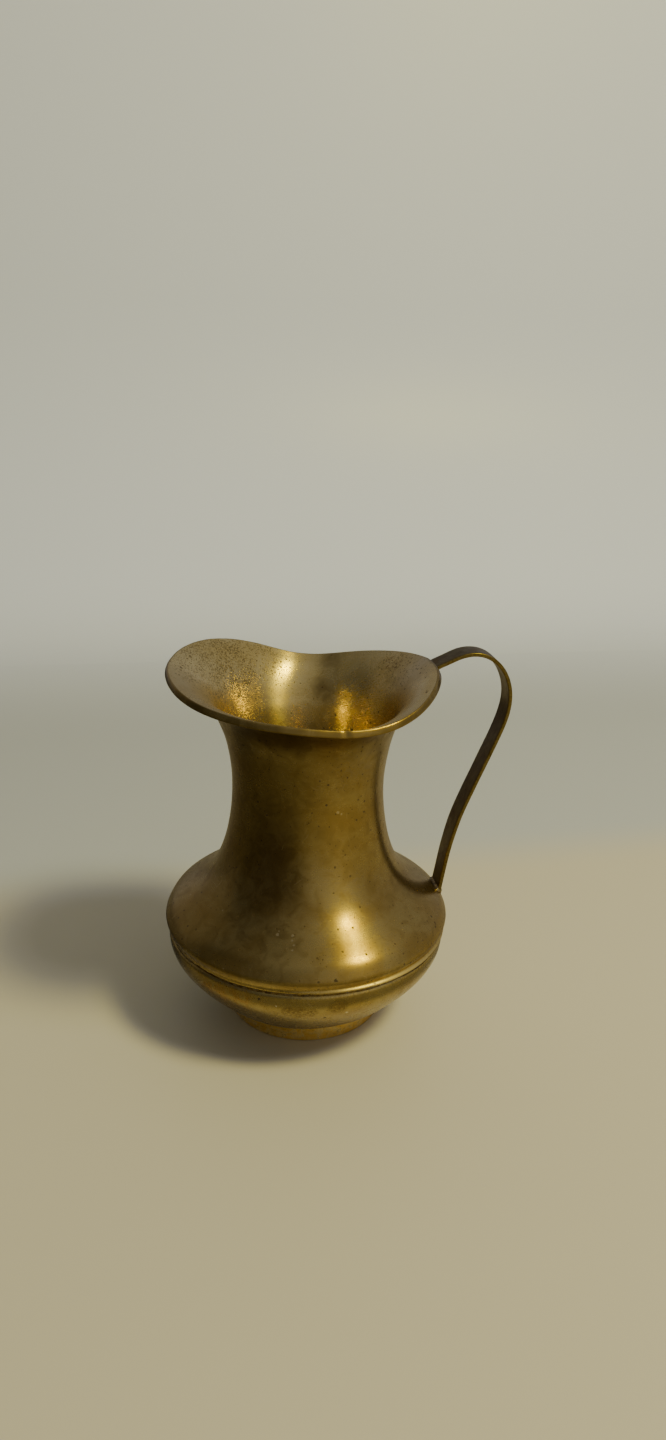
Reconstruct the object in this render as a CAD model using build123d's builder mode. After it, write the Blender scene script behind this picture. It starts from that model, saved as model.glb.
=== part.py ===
from build123d import *
import os
from math import atan2, cos, hypot, radians, sin

# Small spun-brass jug: shouldered body soldered at a low seam, turned foot ring,
# narrow neck, flared lip pinched into a pouring spout, flat strap handle.
# Millimetres. +Z is up, the foot stands on Z = 0, the body axis is Z,
# the handle lies on +X and the spout on -X.

os.makedirs("parts", exist_ok=True)

# ---------------------------------------------------------------- dimensions
wall = 1.2                 # spun sheet thickness
lip_bead = 1.0             # how far the rolled rim stands out from the sheet
lip_bead_from = 0.915      # where along the flare (0 neck, 1 lip) the rolled rim starts
lip_bead_handle = 0.1      # what is left of it where the handle is soldered on

# seam: both shells are turned in and meet edge to edge
seam_z = 31.0              # height of the joint plane
seam_r = 44.6              # radius where the turned-in edges become flat
seam_flat = 0.8            # width of the flat band where the two edges touch
upper_turn = 1.5           # radius of the turn on the upper shell
lower_turn = 1.4           # radius of the turn on the bowl

# outside of the upper shell above its turned edge, (height, radius)
shoulder = [
    (35.1, 46.93),
    (37.3, 46.35),
    (39.6, 44.95),
    (42.1, 41.95),
    (45.7, 36.70),
    (49.3, 32.75),
    (52.9, 30.25),
    (57.4, 28.25),
    (62.8, 26.60),
    (69.1, 25.35),
    (75.5, 24.60),
    (82.6, 24.42),
    (89.8, 25.05),
]
flare_z = 96.5             # height where the round neck starts to flare into the lip
flare_r = 26.35
flare_slope = 16.5         # degrees from vertical at that height

# outside of the bowl below its turned edge, (height, radius)
bowl = [
    (25.4, 45.45),
    (20.8, 42.98),
    (16.6, 39.60),
    (13.0, 36.20),
    (9.9, 33.00),
    (7.7, 29.80),
]
bowl_floor_z = 6.3         # underside of the flat bottom
bowl_floor_r = 23.5

# foot ring
foot_r = 25.95             # outside, at the table
foot_top_r = 26.45
foot_wall = 1.5
foot_fillet = 1.0          # size of the solder fillet under the bowl

# lip edge every 15 degrees round from the handle: radius and height of its top outer corner
lip_r = [38.8, 39.7, 40.4, 40.3, 39.2, 38.0, 37.5, 38.4, 40.1, 41.9, 43.2, 43.7,
         43.9, 43.7, 43.2, 41.9, 40.1, 38.4, 37.5, 38.0, 39.2, 40.3, 40.4, 39.7]
lip_z = [120.6, 119.3, 117.9, 116.3, 114.6, 113.2, 113.8, 116.6, 119.6, 121.3, 121.5, 120.8,
         119.9, 118.6, 117.0, 115.6, 114.4, 113.3, 112.1, 111.5, 112.3, 114.9, 118.2, 120.4]

# handle strip
strip_w = 8.4
strip_t = 1.25
strip_lap = (0.56, 0.70, 0.85, 1.0)   # where along the flare the strip lies against it
strip_gap = 0.15           # solder between strip and flare
# centre line in the XZ plane from the lip over the top and down to the shoulder
strip_path = [
    (42.9, 120.35),
    (48.6, 122.7),
    (54.6, 122.9),
    (60.2, 119.6),
    (63.8, 113.6),
    (64.7, 106.2),
    (62.6, 97.4),
    (59.1, 88.5),
    (54.8, 77.9),
    (50.5, 66.5),
    (47.3, 53.6),
    (45.55, 43.2),
    (44.85, 38.6),
]


# ---------------------------------------------------------------- helpers
def unit(x, y):
    d = hypot(x, y)
    return x / d, y / d


def flare_end(r1, z1):
    """Direction of the sheet at the lip, from horizontal."""
    a0 = radians(90 - flare_slope)
    rise = atan2(z1 - flare_z, r1 - flare_r)
    return max(radians(12), 2 * rise - a0 - radians(16))


def flare_point(r1, z1, s):
    """Point s (0 neck, 1 lip) on the outside of the flare whose top lip corner is (r1, z1)."""
    a0, a1 = radians(90 - flare_slope), flare_end(r1, z1)
    r1, z1 = r1 + wall * sin(a1), z1 - wall * cos(a1)
    m = 1.15 * hypot(r1 - flare_r, z1 - flare_z)
    h00, h10 = 2 * s**3 - 3 * s**2 + 1, s**3 - 2 * s**2 + s
    h01, h11 = -2 * s**3 + 3 * s**2, s**3 - s**2
    return (h00 * flare_r + h10 * m * cos(a0) + h01 * r1 + h11 * m * cos(a1),
            h00 * flare_z + h10 * m * sin(a0) + h01 * z1 + h11 * m * sin(a1))


def inward(points, thick, start=None, end=None):
    """Points moved to the left of their direction of travel by thick(i)."""
    res = []
    n = len(points)
    for i, (r, z) in enumerate(points):
        if i == 0 and start:
            tx, tz = start
        elif i == n - 1 and end:
            tx, tz = end
        else:
            a, b = points[max(i - 1, 0)], points[min(i + 1, n - 1)]
            tx, tz = unit(b[0] - a[0], b[1] - a[1])
        t = thick(i)
        res.append((r - tz * t, z + tx * t))
    return res


# ---------------------------------------------------------------- upper body
# Radial sections of the sheet every 15 degrees, lofted as two halves:
# each section runs up the outside, over the rolled rim, across the lip edge and down the inside.
turn_c = (seam_r, seam_z + upper_turn)            # centre of the turned edge
side = (seam_r + upper_turn, seam_z + upper_turn)  # where the turn meets the wall


def outside(k, last):
    body = [side] + [(r, z) for z, r in shoulder]
    return body + [flare_point(lip_r[k % 24], lip_z[k % 24], last * i / 7) for i in range(8)]


def rolled_rim(k):
    """From the end of the plain sheet over the bead to the lip edge."""
    stand = lip_bead if k % 24 else lip_bead_handle
    a1 = flare_end(lip_r[k % 24], lip_z[k % 24])
    line = []
    for part, rise in ((0.0, 0.0), (0.24, 0.62), (0.58, 0.95), (1.0, 1.0)):
        r, z = flare_point(lip_r[k % 24], lip_z[k % 24], lip_bead_from + (1 - lip_bead_from) * part)
        line.append((r + sin(a1) * stand * rise, z - cos(a1) * stand * rise))
    return line


def radial_section(k):
    out = outside(k, lip_bead_from)
    n = len(out)
    rim = rolled_rim(k)
    a1 = flare_end(lip_r[k % 24], lip_z[k % 24])
    ins = inward(outside(k, 1.0), lambda i: wall, start=(0.0, 1.0), end=(cos(a1), sin(a1)))
    a = radians(15 * k)
    plane = Plane(origin=(0, 0, 0), x_dir=Vector(cos(a), sin(a), 0), z_dir=Vector(sin(a), -cos(a), 0))
    knots = [i / (n - 1) for i in range(n)]
    with BuildSketch(plane) as sec:
        with BuildLine():
            Polyline((seam_r, seam_z + wall), (seam_r - seam_flat, seam_z + wall),
                     (seam_r - seam_flat, seam_z), (seam_r, seam_z))
            CenterArc(turn_c, upper_turn, -90, 90)
            add(Edge.make_spline([Vector(*p) for p in out], parameters=knots))
            add(Edge.make_spline([Vector(*p) for p in rim], parameters=[0, 0.3, 0.64, 1]))
            Line(rim[-1], ins[-1])
            add(Edge.make_spline([Vector(*p) for p in ins], parameters=knots))
            CenterArc(turn_c, upper_turn - wall, -90, 90)
        make_face()
    return sec.sketch.face()


sections = [radial_section(k) for k in range(25)]

with BuildPart() as upper_body:
    loft(sections=sections[0:13])
    loft(sections=sections[12:25])
upper_body.part.label = "upper_body"

# ---------------------------------------------------------------- bowl
bowl_side = (seam_r + lower_turn, seam_z - lower_turn)
bowl_c = (seam_r, seam_z - lower_turn)

with BuildPart() as lower_bowl:
    with BuildSketch(Plane.XZ) as bowl_section:
        with BuildLine():
            outer_pts = [bowl_side] + [(r, z) for z, r in bowl] + [(bowl_floor_r, bowl_floor_z)]
            inner_pts = inward(outer_pts, lambda i: -wall, start=(0.0, -1.0), end=(-1.0, 0.0))
            Polyline((seam_r, seam_z - wall), (seam_r - seam_flat, seam_z - wall),
                     (seam_r - seam_flat, seam_z), (seam_r, seam_z))
            CenterArc(bowl_c, lower_turn, 0, 90)
            Spline(*outer_pts, tangents=[(0, -1), (-1, 0)])
            Line((bowl_floor_r, bowl_floor_z), (0, bowl_floor_z))
            Line((0, bowl_floor_z), (0, bowl_floor_z + wall))
            Line((0, bowl_floor_z + wall), inner_pts[-1])
            Spline(*inner_pts, tangents=[(0, -1), (-1, 0)])
            CenterArc(bowl_c, lower_turn - wall, 0, 90)
        make_face()
    revolve(axis=Axis.Z)
lower_bowl.part.label = "lower_bowl"

# ---------------------------------------------------------------- foot ring
with BuildPart() as foot_ring:
    with BuildSketch(Plane.XZ):
        with BuildLine():
            Polyline((foot_r - foot_wall, 0), (foot_r - 0.4, 0))
            ThreePointArc((foot_r - 0.4, 0), (foot_r - 0.12, 0.12), (foot_r, 0.4))
            Spline((foot_r, 0.4), (foot_r + 0.1, 3.4), (foot_top_r, 7.4))
            Line((foot_top_r, 7.4), (foot_top_r - foot_wall, 7.4))
            Spline((foot_top_r - foot_wall, 7.4), (foot_r + 0.1 - foot_wall, 3.4), (foot_r - foot_wall, 0))
        make_face()
    revolve(axis=Axis.Z)
    add(lower_bowl.part, mode=Mode.SUBTRACT)
foot_ring.part.label = "foot_ring"

# ---------------------------------------------------------------- handle strip
lap = [flare_point(lip_r[0], lip_z[0], v) for v in strip_lap]
lap_end = flare_end(lip_r[0], lip_z[0])
lap = inward(lap, lambda i: -(strip_gap + strip_t / 2), end=(cos(lap_end), sin(lap_end)))
strip_line = lap + strip_path

with BuildPart() as handle_strap:
    with BuildSketch(Plane.XZ) as strip_side:
        with BuildLine():
            above = inward(strip_line, lambda i: strip_t / 2)
            below = inward(strip_line, lambda i: -strip_t / 2)
            Spline(*above)
            Line(above[-1], below[-1])
            Spline(*below)
            Line(below[0], above[0])
        make_face()
    extrude(amount=strip_w / 2, both=True)
    add(upper_body.part, mode=Mode.SUBTRACT)
handle_strap.part.label = "handle_strap"

# ---------------------------------------------------------------- solder
# seam: fills the groove between the two turned edges
with BuildPart() as seam_solder:
    with BuildSketch(Plane.XZ):
        with BuildLine():
            Polyline((seam_r + 0.5, seam_z - 0.9), (seam_r + 0.95, seam_z - 0.9), (seam_r + 1.1, seam_z),
                     (seam_r + 0.95, seam_z + 0.9), (seam_r + 0.5, seam_z + 0.9), close=True)
        make_face()
    revolve(axis=Axis.Z)
    add(upper_body.part, mode=Mode.SUBTRACT)
    add(lower_bowl.part, mode=Mode.SUBTRACT)
seam_solder.part.label = "seam_solder"

# foot: fillet in the corner between the ring and the underside of the bowl
with BuildPart() as foot_solder:
    with BuildSketch(Plane.XZ):
        with BuildLine():
            Polyline((foot_top_r - 0.6, 6.0 - foot_fillet), (foot_top_r - 0.6, 7.4),
                     (foot_top_r + foot_fillet + 0.75, 7.4), close=True)
        make_face()
    revolve(axis=Axis.Z)
    add(lower_bowl.part, mode=Mode.SUBTRACT)
    add(foot_ring.part, mode=Mode.SUBTRACT)
foot_solder.part.label = "foot_solder"

# upper end of the handle: solder between the lapped strip and the flare
with BuildPart() as handle_upper_solder:
    with BuildSketch(Plane.XZ):
        with BuildLine():
            inner_side = [flare_point(lip_r[0], lip_z[0], v) for v in (0.46, 0.6, 0.75, 0.9)]
            outer_side = inward(inner_side, lambda i: -(strip_gap + 0.55 * strip_t))
            inner_side = inward(inner_side, lambda i: 0.4)
            Spline(*inner_side)
            Line(inner_side[-1], outer_side[-1])
            Spline(*outer_side)
            Line(outer_side[0], inner_side[0])
        make_face()
    extrude(amount=strip_w / 2 + 0.9, both=True)
    add(upper_body.part, mode=Mode.SUBTRACT)
    add(handle_strap.part, mode=Mode.SUBTRACT)
handle_upper_solder.part.label = "handle_upper_solder"

# lower end of the handle: fillet around the strip where it stands on the shoulder
with BuildPart() as under_shoulder:
    with BuildSketch(Plane.XZ):
        with BuildLine():
            Polyline((0, 34.0), (46.3, 34.0), (45.7, 37.2), (44.1, 39.6), (41.2, 42.2), (36.0, 45.9), (0, 45.9),
                     close=True)
        make_face()
    revolve(axis=Axis.Z)

with BuildPart() as handle_lower_solder:
    with BuildSketch(Plane((44.9, 0, 38.2), x_dir=(1, 0, 0), z_dir=(0.12, 0, 1))):
        SlotOverall(strip_w + 2.6, strip_t + 2.6, rotation=90)
    with BuildSketch(Plane((45.2, 0, 41.3), x_dir=(1, 0, 0), z_dir=(0.12, 0, 1))):
        SlotOverall(strip_w + 1.0, strip_t + 0.9, rotation=90)
    loft()
    add(under_shoulder.part, mode=Mode.SUBTRACT)
    add(upper_body.part, mode=Mode.SUBTRACT)
    add(handle_strap.part, mode=Mode.SUBTRACT)
handle_lower_solder.part.label = "handle_lower_solder"

pieces = (upper_body, lower_bowl, foot_ring, handle_strap,
          seam_solder, foot_solder, handle_upper_solder, handle_lower_solder)
for piece in pieces:
    box = piece.part.bounding_box()
    print(piece.part.label, len(piece.part.solids()), round(piece.part.volume, 2),
          [round(v, 2) for v in (*box.min, *box.max)])
    export_step(piece.part, f"parts/{piece.part.label}.step")
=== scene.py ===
import math

import bpy
import numpy as np
from mathutils import Matrix, Vector


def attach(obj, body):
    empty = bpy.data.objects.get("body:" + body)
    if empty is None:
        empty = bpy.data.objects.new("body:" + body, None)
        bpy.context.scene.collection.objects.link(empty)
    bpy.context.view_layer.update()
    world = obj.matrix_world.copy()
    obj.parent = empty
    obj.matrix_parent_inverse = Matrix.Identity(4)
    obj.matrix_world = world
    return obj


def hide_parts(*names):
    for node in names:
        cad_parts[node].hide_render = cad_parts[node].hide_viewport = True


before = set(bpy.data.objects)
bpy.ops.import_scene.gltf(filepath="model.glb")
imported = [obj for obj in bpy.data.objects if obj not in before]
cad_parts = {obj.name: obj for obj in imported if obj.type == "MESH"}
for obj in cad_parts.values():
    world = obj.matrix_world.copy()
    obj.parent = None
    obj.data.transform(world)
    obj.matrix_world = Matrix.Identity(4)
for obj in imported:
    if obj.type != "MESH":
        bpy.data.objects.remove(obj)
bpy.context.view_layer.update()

# ------------------------------------------------------------------ sizes (mm, as in the CAD part)
WALL, LIP, ROLL = 1.2, 1.2, 1.0
SEAM_Z, SEAM_R, SEAM_FLAT = 31.0, 44.6, 0.8
UP_TURN, LOW_TURN = 1.5, 1.4
SHOULDER = [(35.1, 46.93), (37.3, 46.35), (39.6, 44.95), (42.1, 41.95), (45.7, 36.70), (49.3, 32.75), (52.9, 30.25),
            (57.4, 28.25), (62.8, 26.60), (69.1, 25.35), (75.5, 24.60), (82.6, 24.42), (89.8, 25.05)]
FLARE_Z, FLARE_R, FLARE_SLOPE = 96.5, 26.35, 16.5
BOWL = [(25.4, 45.45), (20.8, 42.98), (16.6, 39.60), (13.0, 36.20), (9.9, 33.00), (7.7, 29.80)]
FLOOR_Z, FLOOR_R = 6.3, 23.5
FOOT_R, FOOT_TOP_R, FOOT_WALL = 25.95, 26.45, 1.5
LIP_R = [38.8, 39.7, 40.4, 40.3, 39.2, 38.0, 37.5, 38.4, 40.1, 41.9, 43.2, 43.7,
         43.9, 43.7, 43.2, 41.9, 40.1, 38.4, 37.5, 38.0, 39.2, 40.3, 40.4, 39.7]
LIP_Z = [120.6, 119.3, 117.9, 116.3, 114.6, 113.2, 113.8, 116.6, 119.6, 121.3, 121.5, 120.8,
         119.9, 118.6, 117.0, 115.6, 114.4, 113.3, 112.1, 111.5, 112.3, 114.9, 118.2, 120.4]
STRIP_W, STRIP_T, STRIP_GAP = 8.4, 1.25, 0.15
STRIP_LAP = (0.56, 0.70, 0.85, 1.0)
STRIP_PATH = [(42.9, 120.35), (48.6, 122.7), (54.6, 122.9), (60.2, 119.6), (63.8, 113.6), (64.7, 106.2),
              (62.6, 97.4), (59.1, 88.5), (54.8, 77.9), (50.5, 66.5), (47.3, 53.6), (45.55, 43.2), (44.85, 38.6)]


# ------------------------------------------------------------------ curves
def spline(knots, values, at, start=None, end=None):
    """Smooth curve through values (n, ...) at knots, read at the positions at. start and end are end slopes."""
    k, v, at = np.asarray(knots, float), np.asarray(values, float), np.asarray(at, float)
    n, h = len(k), np.diff(k)
    hs = h.reshape((-1,) + (1,) * (v.ndim - 1))
    slope = np.diff(v, axis=0) / hs
    a, b = np.zeros((n, n)), np.zeros_like(v)
    for i in range(1, n - 1):
        a[i, i - 1:i + 2] = h[i - 1], 2 * (h[i - 1] + h[i]), h[i]
        b[i] = 6 * (slope[i] - slope[i - 1])
    if start is None:
        a[0, 0] = 1
    else:
        a[0, :2] = 2 * h[0], h[0]
        b[0] = 6 * (slope[0] - start)
    if end is None:
        a[-1, -1] = 1
    else:
        a[-1, -2:] = h[-1], 2 * h[-1]
        b[-1] = 6 * (end - slope[-1])
    m = np.linalg.solve(a, b.reshape(n, -1)).reshape(v.shape)
    i = np.clip(np.searchsorted(k, at, side="right") - 1, 0, n - 2)
    shape = (-1,) + (1,) * (v.ndim - 1)
    hi = h[i].reshape(shape)
    l, r = (k[i + 1] - at).reshape(shape), (at - k[i]).reshape(shape)
    return (m[i] * l**3 + m[i + 1] * r**3) / (6 * hi) + (v[i] / hi - m[i] * hi / 6) * l + (v[i + 1] / hi - m[i + 1] * hi / 6) * r


def around(samples, theta):
    """Closed smooth curve through equally spaced samples, read at the angles theta."""
    n = len(samples)
    t = np.mod(theta, 2 * math.pi) / (2 * math.pi) * n
    return spline(np.arange(-n, 2 * n), np.tile(np.asarray(samples, float), 3), t)


def flare_end(r1, z1):
    a0 = math.radians(90 - FLARE_SLOPE)
    return np.maximum(math.radians(12), 2 * np.arctan2(z1 - FLARE_Z, r1 - FLARE_R) - a0 - math.radians(16))


def flare_point(r1, z1, s):
    a0, a1 = math.radians(90 - FLARE_SLOPE), flare_end(r1, z1)
    r1, z1 = r1 + LIP * np.sin(a1), z1 - LIP * np.cos(a1)
    m = 1.15 * np.hypot(r1 - FLARE_R, z1 - FLARE_Z)
    h00, h10 = 2 * s**3 - 3 * s**2 + 1, s**3 - 2 * s**2 + s
    h01, h11 = -2 * s**3 + 3 * s**2, s**3 - s**2
    return (h00 * FLARE_R + h10 * m * math.cos(a0) + h01 * r1 + h11 * m * np.cos(a1),
            h00 * FLARE_Z + h10 * m * math.sin(a0) + h01 * z1 + h11 * m * np.sin(a1))


def normals_2d(p):
    """Right-hand normals of polylines p (n, ..., 2)."""
    t = np.gradient(p, axis=0)
    t /= np.linalg.norm(t, axis=-1, keepdims=True)
    return np.stack([t[..., 1], -t[..., 0]], -1)


def waves(p, seed, amps):
    """Gentle uneven field over points p (..., 3) in mm: amps is [(wavelength, size)]."""
    rng = np.random.RandomState(seed)
    out = np.zeros(p.shape[:-1])
    for length, size in amps:
        for _ in range(5):
            d = rng.normal(size=3)
            d /= np.linalg.norm(d)
            out += size / 2.2 * np.sin(p @ d * (2 * math.pi / length) + rng.uniform(0, 6.28))
    return out


# ------------------------------------------------------------------ meshes
def make_piece(name, verts_mm, faces, nodes, attrs=None, sharp=None):
    mesh = bpy.data.meshes.new(name)
    mesh.from_pydata([tuple(v) for v in np.asarray(verts_mm) * 0.001], [], faces)
    mesh.validate()
    mesh.update()
    for p in mesh.polygons:
        p.use_smooth = True
    for key, value in (attrs or {}).items():
        a = mesh.attributes.new(key, "FLOAT", "POINT")
        a.data.foreach_set("value", np.asarray(value, np.float32).ravel())
    ob = bpy.data.objects.new(name, mesh)
    bpy.context.scene.collection.objects.link(ob)
    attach(ob, "root")
    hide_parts(*nodes)
    return ob


def tube_faces(n, m, close_u=True):
    """Quads over an (n, m) grid, closed round m, and round n if close_u."""
    f = []
    for i in range(n if close_u else n - 1):
        j = (i + 1) % n
        for k in range(m):
            l = (k + 1) % m
            f.append((i * m + k, i * m + l, j * m + l, j * m + k))
    return f


def turned(profile, theta):
    """(n, m, 3) points of profiles (n, 2) or (n, m, 2) of (radius, height) round +Z."""
    if profile.ndim == 2:
        profile = profile[:, None, :].repeat(len(theta), 1)
    return np.stack([profile[..., 0] * np.cos(theta), profile[..., 0] * np.sin(theta), profile[..., 1]], -1)


def run_length(p):
    d = np.linalg.norm(np.diff(p, axis=0), axis=-1)
    return np.concatenate([np.zeros((1,) + d.shape[1:]), np.cumsum(d, axis=0)])


def arc(c, r, a0, a1, n):
    a = np.radians(np.linspace(a0, a1, n))
    return np.stack([c[0] + r * np.cos(a), c[1] + r * np.sin(a)], -1)


# ------------------------------------------------------------------ upper body
def outer_rows(theta, at):
    """(n, m, 2) outside of the upper shell above its turned edge."""
    lr, lz = around(LIP_R, theta), around(LIP_Z, theta)
    nt = len(theta)
    rows = [np.tile([SEAM_R + UP_TURN, SEAM_Z + UP_TURN], (nt, 1))]
    rows += [np.tile([r, z], (nt, 1)) for z, r in SHOULDER]
    rows += [np.stack(flare_point(lr, lz, i / 7), -1) for i in range(8)]
    rows = np.array(rows, float)
    n = len(rows)
    first = (rows[1] - rows[0])
    first = np.stack([np.zeros(nt), np.linalg.norm(first, axis=-1)], -1) * (n - 1)
    return spline(np.linspace(0, 1, n), rows, at, start=first)


def bump1(x, c, w):
    """1 at c, falling smoothly to 0 at c +- w."""
    return np.cos(np.clip((x - c) / w, -1, 1) * math.pi / 2) ** 2


def deg_off(theta, c):
    """Signed degrees from direction c."""
    return (np.degrees(theta) - c + 180) % 360 - 180


def build_upper(nt=284):
    theta = np.arange(nt) * 2 * math.pi / nt
    at = np.concatenate([np.linspace(0, 0.05, 16, endpoint=False), np.linspace(0.05, 0.62, 80, endpoint=False),
                         np.linspace(0.62, 0.95, 40, endpoint=False),
                         np.linspace(0.95, 1 - 0.005, 20)])
    out = outer_rows(theta, at)
    turn = arc((SEAM_R, SEAM_Z + UP_TURN), UP_TURN, -90, 0, 13)[:-1]
    out = np.concatenate([turn[:, None, :].repeat(nt, 1), out])
    nrm = normals_2d(out)
    nrm[0] = (0, -1)
    inner = out - nrm * WALL
    # a low crisp edge stands out just above the seam
    ridge = 0.82 * bump1(out[..., 1], SEAM_Z + 1.30, 0.84) * (0.06 + 0.94 * bump1(deg_off(theta, -56), 0, 62) ** 0.6)[None]
    out = out + nrm * ridge[..., None]
    # the rim is rolled over: a bead on the outside, filed away where the handle is soldered on
    back = run_length(out)
    back = back[-1][None] - back
    roll = ROLL * (1 - 0.9 * bump1(deg_off(theta, 0), 0, 15) ** 0.5)[None]
    bead = roll * np.sqrt(np.clip(1 - (np.clip(back - 0.7, 0, 9) / 1.7) ** 2, 0, 1))
    out = out + nrm * bead[..., None]
    e = np.stack([-nrm[-1][:, 1], nrm[-1][:, 0]], -1)
    mid = (out[-1] + inner[-1]) / 2
    half = np.linalg.norm(out[-1] - inner[-1], axis=-1) / 2
    lipwave = waves(turned(mid[None], theta)[0], 71, [(17, 0.07), (6, 0.03)])
    nick = 0.28 * bump1(deg_off(theta, -82.0), 0, 1.6) + 0.12 * bump1(deg_off(theta, 128.0), 0, 2.2)
    cap = []
    for phi in np.radians(np.linspace(0, 180, 13)[1:-1]):
        c, sn = math.cos(phi), math.sin(phi)
        c, sn = math.copysign(abs(c) ** 0.6, c), sn ** 0.6
        cap.append(mid + nrm[-1] * (half * c)[:, None] + e * ((0.55 + lipwave - nick) * sn)[:, None])
    cap = np.array(cap)
    flat = lambda r, z: np.tile([r, z], (1, nt, 1)).astype(float)
    loop = np.concatenate([flat(SEAM_R - SEAM_FLAT, SEAM_Z), out, cap, inner[::-1],
                           flat(SEAM_R - SEAM_FLAT, SEAM_Z + WALL)])
    no, nc = len(out), len(cap)
    side = np.concatenate([[0], np.full(no, 0.0), np.full(nc, 0.5), np.full(no, 1.0), [1]])
    p = turned(loop, theta)
    wob = waves(p, 4, [(46, 0.09), (23, 0.03), (11, 0.007)])
    # the neck and the shoulder are a little flattened and dented by use
    wob = wob - 0.09 * bump1(deg_off(theta, -95), 0, 30)[None] * bump1(loop[..., 1], 62, 16)
    wob = wob - 0.10 * bump1(deg_off(theta, -38), 0, 20)[None] * bump1(loop[..., 1], 47, 9)
    fade = np.clip((loop[..., 1] - SEAM_Z - 1.2) / 5, 0, 1)
    n3 = normals_2d(loop)
    sign = np.concatenate([np.ones(1 + no + nc // 2), -np.ones(len(loop) - 1 - no - nc // 2)])
    push = (wob * fade * sign[:, None])[..., None] * n3
    rim = np.abs(np.arange(len(loop)) - (1 + no + nc / 2))[:, None]
    push *= np.clip((rim - 7) / 12, 0.0, 1.0)[..., None]
    # the turned edge above the seam is hand dressed: it wanders, and is torn at the left
    edge = np.clip(1 - np.abs(loop[..., 1] - SEAM_Z - 0.5) / 1.6, 0, 1) * (side[:, None] == 0)
    torn = bump1(deg_off(theta, -142), 0, 13)
    ragged = waves(p, 57, [(14, 0.05), (5, 0.03)]) + torn[None] * waves(p, 58, [(3.1, 0.16), (1.7, 0.07)])
    loop = loop + push + np.stack([ragged * edge * 0.7, np.abs(ragged) * edge], -1)
    p = turned(loop, theta)
    along = run_length(loop)
    sd = side[:, None].repeat(nt, 1)
    z, th = loop[..., 1], np.broadcast_to(theta, loop.shape[:2])
    inside, outside = np.clip(sd * 2 - 1, 0, 1), np.clip(1 - sd * 2, 0, 1)
    g = lambda c, w: bump1(deg_off(th, c), 0, w)
    up = lambda lo, hi: np.clip((z - lo) / (hi - lo), 0, 1)
    speck = inside * (g(140, 62) ** 0.7 * up(101, 108) + 0.45 * g(25, 48) * up(108, 114))
    speck += outside * (0.05 + 0.30 * bump1(z, 39, 9) * g(-42, 42)) * 0.8
    # outside: brown under the lip and round the neck; the band down the front-left of the neck is oxide and a
    # painted dark reflection
    brown = outside * (bump1(z, 106, 9) * (0.95 * g(-112, 52) + 0.5 * g(-60, 45)) + 0.85 * bump1(z, 62, 34) * g(-122, 40)
                       + 0.25 * g(-80, 120) * bump1(z, 92, 14))
    # inside: a painted dark reflection at the back right, broad below the lip and in a narrow band up the flare, and
    # darker deeper down
    brown += inside * (np.clip((108 - z) / 12, 0, 1) * g(75, 40) * 0.35 + g(70, 17) * up(97, 104) * np.clip((119 - z) / 4, 0, 1) * 0.52 + np.clip((96 - z) / 20, 0, 1) * 0.5)
    haze = inside * up(104, 113) * (g(8, 46) + 0.9 * g(-172, 36))
    haze += outside * 0.55 * g(-60, 48) * bump1(z, 96, 16)
    rubbed = np.clip(1 - np.abs(sd - 0.5) * 2, 0, 1) * 0.0 + outside * bump1(z, SEAM_Z + 1.6, 1.9)
    # the crest just above the seam on the side towards the lamp: rubbed metal that also carries a painted highlight
    polish_and_glint = outside * bump1(z, SEAM_Z + 1.45, 1.2) * g(-60, 42) ** 0.6
    rim_d = np.abs(along - along[1 + no + nc // 2][None])
    lip = np.clip(1 - rim_d / 1.7, 0, 1)
    verts = p.reshape(-1, 3)
    faces = tube_faces(len(loop), nt)
    return verts, faces, {"along": along, "side": sd, "speck": np.clip(speck, 0, 1), "brown": np.clip(brown, 0, 1),
                          "haze": np.clip(haze, 0, 1), "rubbed": rubbed, "polish_and_glint": polish_and_glint, "lip": lip}


# ------------------------------------------------------------------ bowl
def bowl_curve(n):
    pts = np.array([(FLOOR_R, FLOOR_Z)] + [(r, z) for z, r in reversed(BOWL)] + [(SEAM_R + LOW_TURN, SEAM_Z - LOW_TURN)])
    k = np.concatenate([[0], np.cumsum(np.linalg.norm(np.diff(pts, axis=0), axis=1))])
    return spline(k, pts, np.linspace(0, k[-1], n), start=np.array([1.0, 0]), end=np.array([0, 1.0]))


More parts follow.
